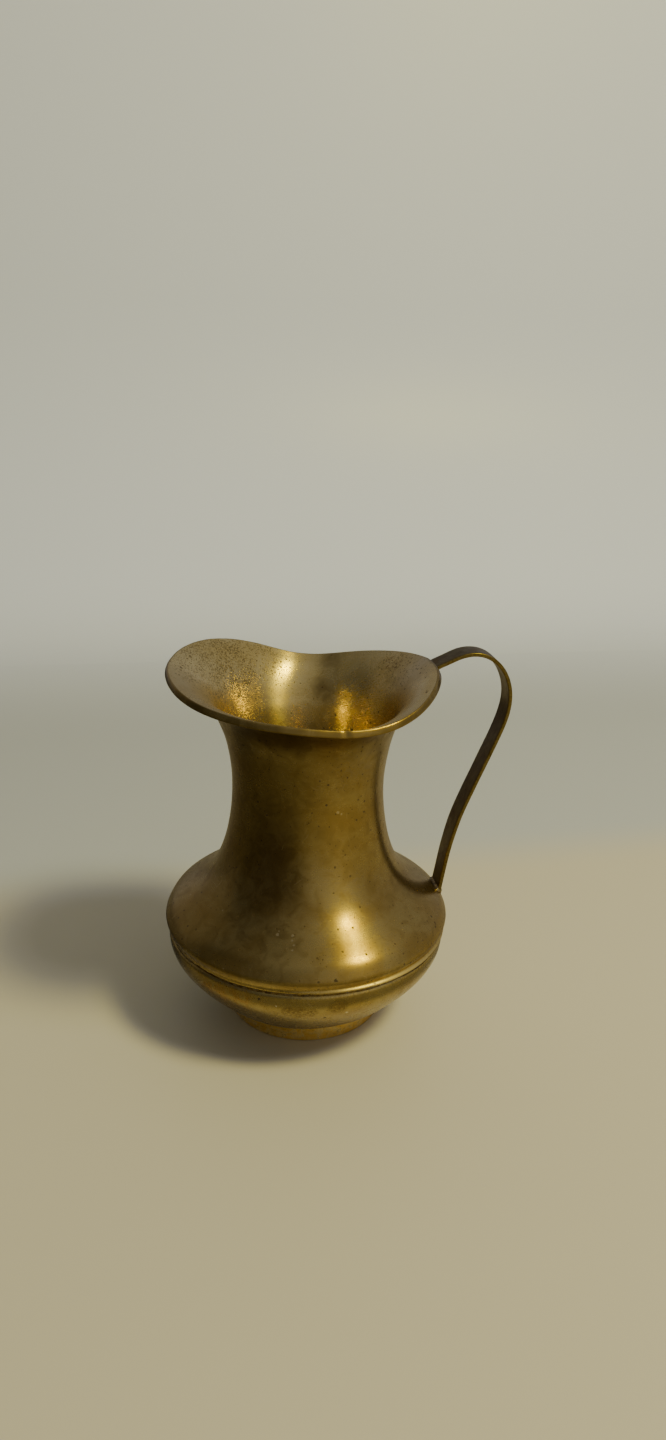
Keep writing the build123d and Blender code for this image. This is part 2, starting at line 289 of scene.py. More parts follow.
def build_bowl(nt=288):
    theta = np.arange(nt) * 2 * math.pi / nt
    curve = bowl_curve(90)
    floor = np.stack([np.linspace(0, FLOOR_R, 16)[1:-1], np.full(14, FLOOR_Z)], -1)
    turn = arc((SEAM_R, SEAM_Z - LOW_TURN), LOW_TURN, 0, 90, 10)[1:]
    out = np.concatenate([floor, curve, turn])
    nrm = normals_2d(out)
    nrm[0] = (0, -1)
    nrm[-1] = (0, 1)
    inner = out - nrm * WALL
    loop = np.concatenate([out, [(SEAM_R - SEAM_FLAT, SEAM_Z)], [(SEAM_R - SEAM_FLAT, SEAM_Z - WALL)], inner[::-1]])
    p = turned(loop, theta)
    wob = waves(p, 9, [(40, 0.08), (19, 0.03), (9, 0.008)])
    fade = np.clip((SEAM_Z - 1.5 - loop[:, 1]) / 5, 0, 1) * np.clip((loop[:, 0] - 27) / 6, 0, 1)
    bruise = np.exp(-(np.linalg.norm(p - (3.6, -45.8, 26.4), axis=-1) / 2.3) ** 4) * 0.10
    n3 = normals_2d(loop)
    sign = np.where(np.arange(len(loop)) <= len(out), 1.0, -1.0)
    push = wob * (fade * sign)[:, None] - bruise * sign[:, None]
    p = p + np.stack([n3[:, 0][:, None] * np.cos(theta), n3[:, 0][:, None] * np.sin(theta),
                      n3[:, 1][:, None].repeat(nt, 1)], -1) * push[..., None]
    n = len(loop)
    verts = np.concatenate([p.reshape(-1, 3), [(0, 0, FLOOR_Z), (0, 0, FLOOR_Z + WALL)]])
    faces = tube_faces(n, nt, close_u=False)
    a, b = n * nt, n * nt + 1
    for kk in range(nt):
        l = (kk + 1) % nt
        faces.append((a, l, kk))
        faces.append((b, (n - 1) * nt + kk, (n - 1) * nt + l))
    along = np.concatenate([run_length(loop)[:, None].repeat(nt, 1).ravel(), [0, 0]])
    side = np.concatenate([(np.arange(n) > len(out)).astype(float)[:, None].repeat(nt, 1).ravel(), [0, 1]])
    rubbed = np.clip(1 - np.abs(loop[:, 1] - SEAM_Z + 0.9) / 1.6, 0, 1) * (np.arange(n) <= len(out))
    rubbed = np.concatenate([rubbed[:, None].repeat(nt, 1).ravel(), [0, 0]])
    return verts, faces, {"along": along, "side": side, "rubbed": rubbed}


# ------------------------------------------------------------------ foot ring
def build_foot(nt=256):
    theta = np.arange(nt) * 2 * math.pi / nt
    zz = np.linspace(0.4, 7.05, 26)
    kz = np.array([0.4, 3.4, 7.05])
    outer = np.stack([spline(kz, np.array([FOOT_R, FOOT_R + 0.1, FOOT_TOP_R]), zz), zz], -1)
    inner = outer[::-1] - (FOOT_WALL, 0)
    bo = arc((FOOT_R - 0.4, 0.4), 0.4, -90, 0, 7)[:-1]
    bi = arc((FOOT_R - FOOT_WALL + 0.3, 0.3), 0.3, 180, 270, 6)[1:]
    loop = np.concatenate([bo, outer, inner, bi])
    p = turned(loop, theta)
    wob = waves(p, 21, [(30, 0.05), (12, 0.02)]) * np.clip((loop[:, 1] - 0.6) / 2, 0, 1)[:, None]
    sign = np.where(np.arange(len(loop)) < len(bo) + len(outer), 1.0, 0.0)[:, None]
    p[..., :2] += (np.stack([np.cos(theta), np.sin(theta)], -1)[None] * (wob * sign)[..., None])
    along = run_length(loop)[:, None].repeat(nt, 1)
    side = np.where(np.arange(len(loop)) < len(bo) + len(outer), 0.0, 1.0)[:, None].repeat(nt, 1)
    return p.reshape(-1, 3), tube_faces(len(loop), nt), {"along": along, "side": side}


# ------------------------------------------------------------------ handle strap
def strap_line(n=320, extra=0.0):
    lap = np.array([flare_point(LIP_R[0], LIP_Z[0], v) for v in STRIP_LAP], float)
    a1 = flare_end(LIP_R[0], LIP_Z[0])
    t = np.gradient(lap, axis=0)
    t[-1] = (math.cos(a1), math.sin(a1))
    t /= np.linalg.norm(t, axis=1, keepdims=True)
    lap = lap + np.stack([t[:, 1], -t[:, 0]], -1) * (STRIP_GAP + STRIP_T / 2)
    pts = np.concatenate([lap, STRIP_PATH])
    k = np.concatenate([[0], np.cumsum(np.linalg.norm(np.diff(pts, axis=0), axis=1))])
    line = spline(k, pts, np.linspace(0, k[-1], n))
    tan = np.gradient(line, axis=0)
    tan /= np.linalg.norm(tan, axis=1, keepdims=True)
    return line, tan


def build_strap():
    line, tan = strap_line()
    n = len(line)
    nrm = np.stack([-tan[:, 1], tan[:, 0]], -1)          # left of travel: the outer face over the arch
    cr, hw, hh = 0.34, STRIP_W / 2, STRIP_T / 2
    sec = []
    for cx, cy, a0 in ((hw - cr, hh - cr, 0), (-hw + cr, hh - cr, 90), (-hw + cr, -hh + cr, 180), (hw - cr, -hh + cr, 270)):
        for a in np.radians(np.linspace(a0, a0 + 90, 6)):
            sec.append((cx + cr * math.cos(a), cy + cr * math.sin(a)))
    dense = []
    for i, q in enumerate(sec):                             # extra rows across the two broad faces
        dense.append(q)
        if i in (5, 17):
            q2 = sec[i + 1]
            for f in np.linspace(0, 1, 10)[1:-1]:
                dense.append((q[0] + (q2[0] - q[0]) * f, q[1] + (q2[1] - q[1]) * f))
    sec = np.array(dense)
    m = len(sec)
    grow = np.ones(n)
    d = run_length(line)
    for i in range(n):
        e = min(d[i], 1e9)
        if e < 0.5:
            grow[i] = math.sqrt(max(0.02, 1 - (1 - e / 0.5) ** 2)) * 0.12 + 0.88
    w = sec[None, :, 0] * grow[:, None]
    h = sec[None, :, 1] * grow[:, None]
    x = line[:, 0][:, None] + nrm[:, 0][:, None] * h
    z = line[:, 1][:, None] + nrm[:, 1][:, None] * h
    p = np.stack([x, w, z], -1)
    wob = waves(p, 33, [(26, 0.05), (11, 0.025)])
    p[..., 1] += wob * 0.8
    p[..., 0] += nrm[:, 0][:, None] * wob
    p[..., 2] += nrm[:, 1][:, None] * wob
    verts = np.concatenate([p.reshape(-1, 3), [p[0].mean(0), p[-1].mean(0)]])
    faces = tube_faces(n, m, close_u=False)
    a, b = n * m, n * m + 1
    for k in range(m):
        l = (k + 1) % m
        faces.append((a, l, k))
        faces.append((b, (n - 1) * m + k, (n - 1) * m + l))
    edge = np.clip((np.abs(sec[:, 0]) - (hw - 0.9)) / 0.9, 0, 1)[None, :].repeat(n, 0)
    along = d[:, None].repeat(m, 1)
    face = (sec[:, 1] / hh)[None, :].repeat(n, 0)
    tail = [0, 0]
    return verts, faces, {"along": np.concatenate([along.ravel(), [0, d[-1]]]),
                          "edge": np.concatenate([edge.ravel(), tail]), "side": np.concatenate([face.ravel(), tail])}


# ------------------------------------------------------------------ solder
def closed_patch(top, low):
    """Closed mesh between two (n, m, 3) grids."""
    n, m = top.shape[:2]
    verts = np.concatenate([top.reshape(-1, 3), low.reshape(-1, 3)])
    o = n * m
    f = []
    for i in range(n - 1):
        for k in range(m - 1):
            q = (i * m + k, i * m + k + 1, (i + 1) * m + k + 1, (i + 1) * m + k)
            f.append(q)
            f.append(tuple(o + x for x in reversed(q)))
    ring = [k for k in range(m)] + [i * m + m - 1 for i in range(1, n)] \
        + [(n - 1) * m + k for k in range(m - 2, -1, -1)] + [i * m for i in range(n - 2, 0, -1)]
    for a, b in zip(ring, ring[1:] + ring[:1]):
        f.append((b, a, o + a, o + b))
    return verts, f


def soft(x):
    x = np.clip(x, 0, 1)
    return x * x * (3 - 2 * x)


def build_seam_bead(nt=360):
    theta = np.arange(nt) * 2 * math.pi / nt
    at = turned(np.array([[SEAM_R + 0.9, SEAM_Z]]), theta)[0]
    fill = 0.93 + waves(at, 81, [(21, 0.08), (7, 0.06), (2.6, 0.05)])
    fill -= 0.42 * bump1(deg_off(theta, -139), 0, 17) + 0.25 * bump1(deg_off(theta, 62), 0, 20)
    fill += 0.10 * bump1(deg_off(theta, -97), 0, 16)
    fill += 0.30 * bump1(deg_off(theta, -40), 0, 48)
    fill = np.clip(fill, 0.35, 1.30)
    hu = lambda x: UP_TURN - np.sqrt(UP_TURN ** 2 - x ** 2)
    hl = lambda x: LOW_TURN - np.sqrt(LOW_TURN ** 2 - x ** 2)
    rows = [(np.full(nt, 0.05), np.full(nt, -0.12))]
    rows += [(fill * 0.6, -hl(fill * 0.6) - 0.10), (fill, -hl(fill) - 0.05)]
    rows += [(fill - 0.07, -hl(fill) * 0.55), (fill - 0.11, -hl(fill) * 0.1), (fill - 0.07, hu(fill) * 0.5)]
    rows += [(fill, hu(fill) + 0.05), (fill * 0.6, hu(fill * 0.6) + 0.10), (np.full(nt, 0.05), np.full(nt, 0.12))]
    loop = np.array([np.stack([SEAM_R + x, SEAM_Z + z], -1) for x, z in rows])
    p = turned(loop, theta)
    return p.reshape(-1, 3), tube_faces(len(loop), nt), {}


def build_foot_fillet(nt=320):
    theta = np.arange(nt) * 2 * math.pi / nt
    curve = bowl_curve(400)
    under = lambda r: np.interp(r, curve[:, 0], curve[:, 1])
    at = turned(np.array([[FOOT_TOP_R, 6.0]]), theta)[0]
    wander = waves(at, 91, [(16, 0.16), (6, 0.12), (2.4, 0.07)])
    size = np.clip(0.80 + wander + 0.35 * bump1(deg_off(theta, -92), 0, 34), 0.35, 1.3)
    drop = np.clip(0.75 + waves(at, 92, [(13, 0.14), (5, 0.12)]), 0.3, 1.2)
    foot = lambda z: FOOT_R + 0.1 + (z - 3.4) / 4.0 * 0.36
    zc = under(foot(6.5) * np.ones(nt))
    rb = foot(6.5) + size
    rows = [(foot(zc - drop) - 0.25, zc - drop + 0.1), (foot(zc - drop) + 0.02, zc - drop)]
    for t in (0.2, 0.4, 0.6, 0.8):
        u = (1 - t) ** 2
        w = t ** 2
        rows.append((foot(zc) + size * w + 0.10, zc - drop * u - 0.10 + (under(rb) - zc) * w))
    rows += [(rb, under(rb) - 0.01), (rb - 0.1, under(rb) + 0.30), (foot(zc) - 0.3, zc + 0.35)]
    loop = np.array([np.stack([r, z], -1) for r, z in rows])
    p = turned(loop, theta)
    return p.reshape(-1, 3), tube_faces(len(loop), nt), {}


def build_lap_fill(ns=70, ny=64):
    s = np.linspace(0.42, 0.955, ns)
    y = np.linspace(-5.9, 5.9, ny)
    ss, yy = np.meshgrid(s, y, indexing="ij")

    def surface(ss, yy):
        th = np.zeros_like(ss)
        for _ in range(4):
            r, z = flare_point(around(LIP_R, th.ravel()).reshape(th.shape), around(LIP_Z, th.ravel()).reshape(th.shape), ss)
            th = np.arcsin(yy / r)
        return np.stack([r * np.cos(th), yy, z], -1)

    p = surface(ss, yy)
    ds, dy = np.gradient(p, axis=0), np.gradient(p, axis=1)
    nrm = np.cross(ds, dy)
    nrm /= np.linalg.norm(nrm, axis=-1, keepdims=True)
    if nrm[ns // 2, ny // 2] @ np.array([1.0, 0, -0.3]) < 0:
        nrm = -nrm
    edge = 5.15 + waves(p, 101, [(9, 0.22), (3.5, 0.12)])
    top = 0.86 + waves(p, 102, [(6, 0.07), (2.4, 0.04)])
    h = top * soft((edge - np.abs(yy)) / 1.15) ** 1.3 * soft((ss - 0.445) / 0.10) * soft((0.945 - ss) / 0.045)
    return (*closed_patch(p + nrm * (h - 0.06)[..., None], p - nrm * 0.45), {})


def build_base_fillet(nu=64, nv=96):
    prof = outer_rows(np.array([0.0]), np.linspace(0, 0.4, 400))[:, 0]
    run = run_length(prof[:, None, :])[:, 0]
    line, tan = strap_line()
    # where the strip's centre line enters the shoulder
    d = np.linalg.norm(prof[:, None] - line[None], axis=-1)
    i, j = np.unravel_index(np.argmin(d), d.shape)
    here, way = run[i], -tan[j]
    u = np.linspace(-3.0, 3.2, nu)
    v = np.linspace(-6.3, 6.3, nv)
    uu, vv = np.meshgrid(u, v, indexing="ij")
    rz = np.stack([np.interp(here + uu, run, prof[:, 0]), np.interp(here + uu, run, prof[:, 1])], -1)
    th = np.arcsin(vv / rz[..., 0])
    p = np.stack([rz[..., 0] * np.cos(th), vv, rz[..., 1]], -1)
    t = np.stack([np.gradient(rz[..., 0], axis=0), np.gradient(rz[..., 1], axis=0)], -1)
    t /= np.linalg.norm(t, axis=-1, keepdims=True)
    nrm = np.stack([t[..., 1] * np.cos(th), t[..., 1] * np.sin(th), -t[..., 0]], -1)
    # distance from the strip's section, measured on the shoulder
    du, dv = np.abs(uu) - 0.85, np.abs(vv) - 3.9
    dist = np.hypot(np.maximum(du, 0), np.maximum(dv, 0)) + np.minimum(np.maximum(du, dv), 0)
    reach = 1.25 + waves(p, 111, [(5, 0.18), (2.2, 0.12)])
    h = (1.45 + waves(p, 112, [(4, 0.16), (1.8, 0.08)])) * np.clip(1 - np.maximum(dist, 0) / reach, 0, 1) ** 2.1
    lift = nrm * 0.55 + np.array([way[0], 0, way[1]]) * 0.45
    lift /= np.linalg.norm(lift, axis=-1, keepdims=True)
    return (*closed_patch(p + lift * (h - 0.07)[..., None], p - nrm * 0.5), {})


# ------------------------------------------------------------------ materials
class Net:
    """One procedural metal: object coordinates in millimetres, and short names for the nodes it uses."""

    def __init__(self, name):
        self.mat = bpy.data.materials.new(name)
        self.mat.use_nodes = True
        self.tree = self.mat.node_tree
        self.bsdf = self.tree.nodes["Principled BSDF"]
        self.mm = self.vec("SCALE", self.new("ShaderNodeTexCoord").outputs["Object"], scale=1000)

    def new(self, kind, **props):
        n = self.tree.nodes.new(kind)
        for k, v in props.items():
            setattr(n, k, v)
        return n

    def put(self, socket, value):
        if isinstance(value, bpy.types.NodeSocket):
            self.tree.links.new(value, socket)
        elif value is not None:
            socket.default_value = value

    def vec(self, op, a, b=None, scale=None):
        n = self.new("ShaderNodeVectorMath", operation=op)
        self.put(n.inputs[0], a)
        self.put(n.inputs[1], b)
        if scale is not None:
            n.inputs["Scale"].default_value = scale
        return n.outputs["Value" if op in ("DISTANCE", "DOT_PRODUCT", "LENGTH") else "Vector"]

    def math(self, op, a, b=None, clamp=False):
        n = self.new("ShaderNodeMath", operation=op, use_clamp=clamp)
        self.put(n.inputs[0], a)
        self.put(n.inputs[1], b)
        return n.outputs[0]

    def add(self, a, b):
        return self.math("ADD", a, b)

    def mul(self, a, b):
        return self.math("MULTIPLY", a, b)

    def attr(self, name):
        return self.new("ShaderNodeAttribute", attribute_name=name).outputs["Fac"]

    def noise(self, per_mm, detail=3.0, rough=0.5, warp=0.0, at=None, flow=None):
        n = self.new("ShaderNodeTexNoise")
        if flow is not None:
            n.noise_dimensions = "1D"
            self.put(n.inputs["W"], flow)
        else:
            self.put(n.inputs["Vector"], self.mm if at is None else at)
        n.inputs["Scale"].default_value = per_mm
        n.inputs["Detail"].default_value = detail
        n.inputs["Roughness"].default_value = rough
        n.inputs["Distortion"].default_value = warp
        return n.outputs["Fac"]

    def stretched(self, scale, turn=(0, 0, 0), shift=(0, 0, 0)):
        n = self.new("ShaderNodeMapping")
        self.put(n.inputs["Vector"], self.mm)
        n.inputs["Scale"].default_value = scale
        n.inputs["Rotation"].default_value = turn
        n.inputs["Location"].default_value = shift
        return n.outputs[0]

    def cells(self, per_mm, at=None):
        n = self.new("ShaderNodeTexVoronoi")
        self.put(n.inputs["Vector"], self.mm if at is None else at)
        n.inputs["Scale"].default_value = per_mm
        sep = self.new("ShaderNodeSeparateColor")
        self.put(sep.inputs[0], n.outputs["Color"])
        return n.outputs["Distance"], sep.outputs[0]

    def span(self, x, a, b, lo=0.0, hi=1.0):
        n = self.new("ShaderNodeMapRange", interpolation_type="SMOOTHSTEP")
        self.put(n.inputs["Value"], x)
        for i, v in zip((1, 2, 3, 4), (a, b, lo, hi)):
            self.put(n.inputs[i], v)
        return n.outputs["Result"]

    def mix(self, f, a, b, mode="MIX"):
        n = self.new("ShaderNodeMix", data_type="RGBA", blend_type=mode)
        self.put(n.inputs[0], f)
        for s, v in ((n.inputs[6], a), (n.inputs[7], b)):
            self.put(s, v if isinstance(v, bpy.types.NodeSocket) else (*v, 1))
        return n.outputs[2]

    def mixf(self, f, a, b):
        n = self.new("ShaderNodeMix", data_type="FLOAT")
        self.put(n.inputs[0], f)
        self.put(n.inputs[2], a)
        self.put(n.inputs[3], b)
        return n.outputs[0]

    def spots(self, places, warp=None):
        """Soft-edged marks: places is [(x, y, z, radius)] in mm; warp is a field that frays their edges."""
        at = self.mm
        if warp is not None:
            at = self.vec("ADD", self.mm, warp)
        total = None
        for x, y, z, r in places:
            m = self.span(self.vec("DISTANCE", at, (x, y, z)), r, r * 0.55)
            total = m if total is None else self.math("MAXIMUM", total, m)
        return total

    def fray(self, per_mm, size):
        """A vector field of the given size in mm."""
        n = self.new("ShaderNodeTexNoise")
        self.put(n.inputs["Vector"], self.mm)
        n.inputs["Scale"].default_value = per_mm
        n.inputs["Detail"].default_value = 3
        off = self.vec("SUBTRACT", n.outputs["Color"], (0.5, 0.5, 0.5))
        return self.vec("SCALE", off, scale=size)

    def finish(self, colour, rough, metal, height, depth_mm):
        self.put(self.bsdf.inputs["Base Color"], colour)
        self.put(self.bsdf.inputs["Roughness"], rough)
        self.put(self.bsdf.inputs["Metallic"], metal)
        bump = self.new("ShaderNodeBump")
        bump.inputs["Strength"].default_value = 1.0
        bump.inputs["Distance"].default_value = depth_mm * 0.001
        self.put(bump.inputs["Height"], height)
        self.put(self.bsdf.inputs["Normal"], bump.outputs[0])
        return self.mat

    def lathe(self, amount):
        """Highlights spread across the turning marks, which run round the axis."""
        tan = self.new("ShaderNodeTangent", direction_type="RADIAL", axis="Z")
        self.put(self.bsdf.inputs["Tangent"], tan.outputs[0])
        self.bsdf.inputs["Anisotropic"].default_value = amount
        self.bsdf.inputs["Anisotropic Rotation"].default_value = 0.25


CLEAN, WARM, DULL = (0.42, 0.306, 0.106), (0.36, 0.236, 0.063), (0.29, 0.200, 0.063)
BROWN, SOOT, TAN, PALE = (0.12, 0.070, 0.020), (0.035, 0.020, 0.008), (0.31, 0.235, 0.11), (0.62, 0.50, 0.26)


def scratches(n, seed, fine=5.5):
    """Hairline scratches in three directions, 0 to 1."""
    lines = None
    for i, turn in enumerate(((0.3, 0.5, 0.2), (1.2, -0.4, 0.9), (-0.7, 0.2, 1.9))):
        at = n.stretched((0.16, fine, 0.16), turn, (seed + 7 * i, 3 * i, -5 * i))
        one = n.span(n.noise(1.0, 1.5, 0.4, at=at), 0.715, 0.76)
        lines = one if lines is None else n.math("MAXIMUM", lines, one)
    return lines


def brass_upper():
    n = Net("brass_upper")
    along, side, lip = n.attr("along"), n.attr("side"), n.attr("lip")
    inside = n.span(side, 0.6, 0.9)
    big = n.noise(0.045, 5, 0.55, 0.6)
    mid = n.noise(0.21, 5, 0.6, 0.9)
    fine = n.noise(1.3, 5, 0.65)
    grain = n.noise(6.0, 3, 0.6)
    rings = n.noise(1.9, 3, 0.7, flow=along)
    bands = n.noise(0.16, 2, 0.5, flow=along)
    # clean metal, warmer and duller in patches and in turning bands
    tone = n.add(n.mul(big, 0.6), n.add(n.mul(mid, 0.28), n.mul(bands, 0.12)))
    col = n.mix(n.span(tone, 0.40, 0.62), CLEAN, WARM)
    col = n.mix(n.mul(n.span(mid, 0.46, 0.70), 0.55), col, DULL)
    col = n.mix(n.mul(inside, 0.75), col, n.mix(n.span(tone, 0.40, 0.62), (0.86, 0.70, 0.33), (0.78, 0.60, 0.23)))
    # brown oxide under the lip and deep inside; the band down the front-left of the neck is oxide and a painted dark
    # reflection, and the dark band inside the flare at the back right is a painted dark reflection
    edge = n.add(n.mul(n.add(mid, -0.5), 1.1), n.mul(n.add(fine, -0.5), 0.35))
    brown = n.span(n.add(n.attr("brown"), n.mul(edge, 0.55)), 0.12, 0.95)
    col = n.mix(n.mul(brown, 0.78), col, BROWN)
    # hazy, smeared film on the flare
    swirl = n.noise(0.33, 4, 0.6, 3.2)
    haze = n.mul(n.span(n.add(n.attr("haze"), n.mul(n.add(swirl, -0.5), 1.6)), 0.25, 0.85), 0.9)
    col = n.mix(n.mul(haze, 0.62), col, TAN)
    streak = n.mul(n.span(swirl, 0.50, 0.505), n.span(swirl, 0.55, 0.515))
    col = n.mix(n.mul(n.mul(streak, n.attr("haze")), 0.28), col, PALE)
    # fine dark specks of tarnish, thick on the inner flare
    dense = n.attr("speck")
    dots = n.noise(1.9, 4, 0.62, 0.3)
    thick = n.add(n.mul(n.add(mid, -0.5), 0.30), n.mul(dense, 0.125))
    specks = n.span(n.add(dots, thick), 0.645, 0.69)
    specks = n.mul(specks, n.span(dense, 0.05, 0.35))
    loose = n.vec("ADD", n.mm, n.fray(1.4, 0.9))
    for size, share in ((0.95, 0.55), (1.7, 0.60)):
        near, odd = n.cells(size, at=loose)
        odd = n.add(odd, n.add(n.mul(dense, share), n.mul(n.add(mid, -0.5), 0.6)))
        specks = n.math("MAXIMUM", specks, n.mul(n.span(near, 0.34, 0.20), n.span(odd, 0.96, 1.0)))
    dist, pick = n.cells(0.40)
    pits = n.mul(n.span(dist, 0.20, 0.11), n.span(pick, 0.86, 0.87))
    marks = n.spots([(-36.3, 15.4, 119.6, 0.85), (-37.2, 13.2, 119.4, 0.6), (-39.3, 5.4, 118.7, 0.8), (-38.9, 7.2, 118.8, 0.6),
                     (-39.6, 3.4, 118.4, 0.5), (32.8, 12.0, 116.8, 0.55), (33.8, 11.4, 117.3, 0.5), (35.7, 9.0, 118.6, 0.55),
                     (36.2, 7.6, 118.7, 0.45), (36.6, 6.2, 118.8, 0.4), (34.6, 2.7, 117.2, 0.5), (34.9, 1.4, 117.4, 0.45),
                     (32.4, -20.4, 116.6, 0.6), (33.0, -19.2, 116.8, 0.5), (28.3, 18.6, 114.9, 0.7), (27.2, 16.9, 113.4, 0.5),
                     (2.4, -46.6, 36.5, 0.75), (37.8, -21.7, 40.9, 0.7), (38.4, -23.3, 39.5, 0.6), (38.6, -24.4, 38.6, 0.5),
                     (5.3, -37.2, 111.4, 0.55), (-29.5, 19.5, 117.5, 0.5)], n.fray(1.1, 1.1))
    rust = n.mul(n.spots([(28.8, 18.2, 115.6, 4.2), (31.0, 15.0, 115.8, 3.0)], n.fray(0.5, 4.0)), n.span(fine, 0.50, 0.62))
    col = n.mix(n.mul(rust, 0.75), col, (0.16, 0.06, 0.014))
    dark = n.math("MAXIMUM", n.mul(specks, 0.85), n.math("MAXIMUM", n.mul(pits, 0.8), n.mul(marks, 0.9)))
    col = n.mix(dark, col, SOOT)
    # scratches and bright nicks where the metal is freshly bared
    hair = n.mul(scratches(n, 1), n.span(mid, 0.40, 0.62))
    nicks = n.spots([(-13.5, -34.1, 45.7, 0.62), (-13.0, -33.2, 46.2, 0.45), (-9.1, -35.4, 45.8, 0.52), (-9.4, -36.7, 44.9, 0.46),
                     (-9.0, -37.9, 43.9, 0.50), (-9.7, -39.2, 43.2, 0.42), (-29.2, -19.8, 46.9, 0.36), (-38.8, -3.6, 44.1, 0.35),
                     (-40.8, -23.3, 35.6, 0.40), (-30.0, -35.7, 36.3, 0.40), (5.9, -23.8, 80.4, 0.6), (7.1, -23.4, 79.6, 0.4)],
                    n.fray(1.6, 0.7))
    col = n.mix(n.mul(hair, 0.30), col, PALE)
    col = n.mix(n.mul(nicks, 0.75), col, PALE)
    # the crest over the seam is rubbed bright, and on the side towards the lamp carries a painted highlight; the lip
    # is darkened, with grime beside it
    worn = n.mul(n.attr("rubbed"), n.span(fine, 0.30, 0.60))
    col = n.mix(n.mul(worn, 0.55), col, (0.74, 0.54, 0.17))
    # the crest on the side towards the lamp is painted bright: partly rubbed metal, partly a painted highlight
    # standing in for the lamp's glint along it
    col = n.mix(n.mul(n.attr("polish_and_glint"), 0.80), col, (0.90, 0.72, 0.30))
    lipdirt = n.mul(n.span(lip, 0.05, 0.7), n.span(n.add(mid, n.mul(fine, 0.3)), 0.52, 0.72))
    col = n.mix(n.mul(lip, 0.45), col, (0.20, 0.145, 0.045))
    col = n.mix(n.mul(lipdirt, 0.6), col, (0.22, 0.15, 0.045))
    rough = n.add(0.30, n.add(n.mul(n.add(mid, -0.5), 0.16), n.mul(n.add(fine, -0.5), 0.14)))
    rough = n.add(rough, n.mul(n.add(rings, -0.5), 0.10))
    rough = n.add(rough, n.add(n.mul(haze, 0.07), n.mul(brown, 0.07)))
    rough = n.add(rough, n.add(n.mul(dark, 0.25), n.mul(hair, 0.08)))
    rough = n.add(rough, n.add(n.mul(inside, -0.03), n.mul(worn, -0.08)))
    rough = n.add(rough, n.mul(n.attr("polish_and_glint"), 0.22))        # the crest is scuffed, so its glint runs along it
    metal = n.math("SUBTRACT", 0.97, n.add(n.mul(dark, 0.55), n.mul(haze, 0.08)))
    height = n.add(n.mul(rings, 0.05), n.add(n.mul(fine, 0.09), n.mul(grain, 0.015)))
    height = n.add(height, n.add(n.mul(mid, 0.35), n.mul(dark, -0.22)))
    height = n.add(height, n.add(n.mul(hair, -0.08), n.mul(nicks, -0.3)))
    n.lathe(0.68)
    n.put(n.bsdf.inputs["Anisotropic"], n.add(0.68, n.mul(inside, 0.22)))
    return n.finish(col, rough, metal, height, 0.035)


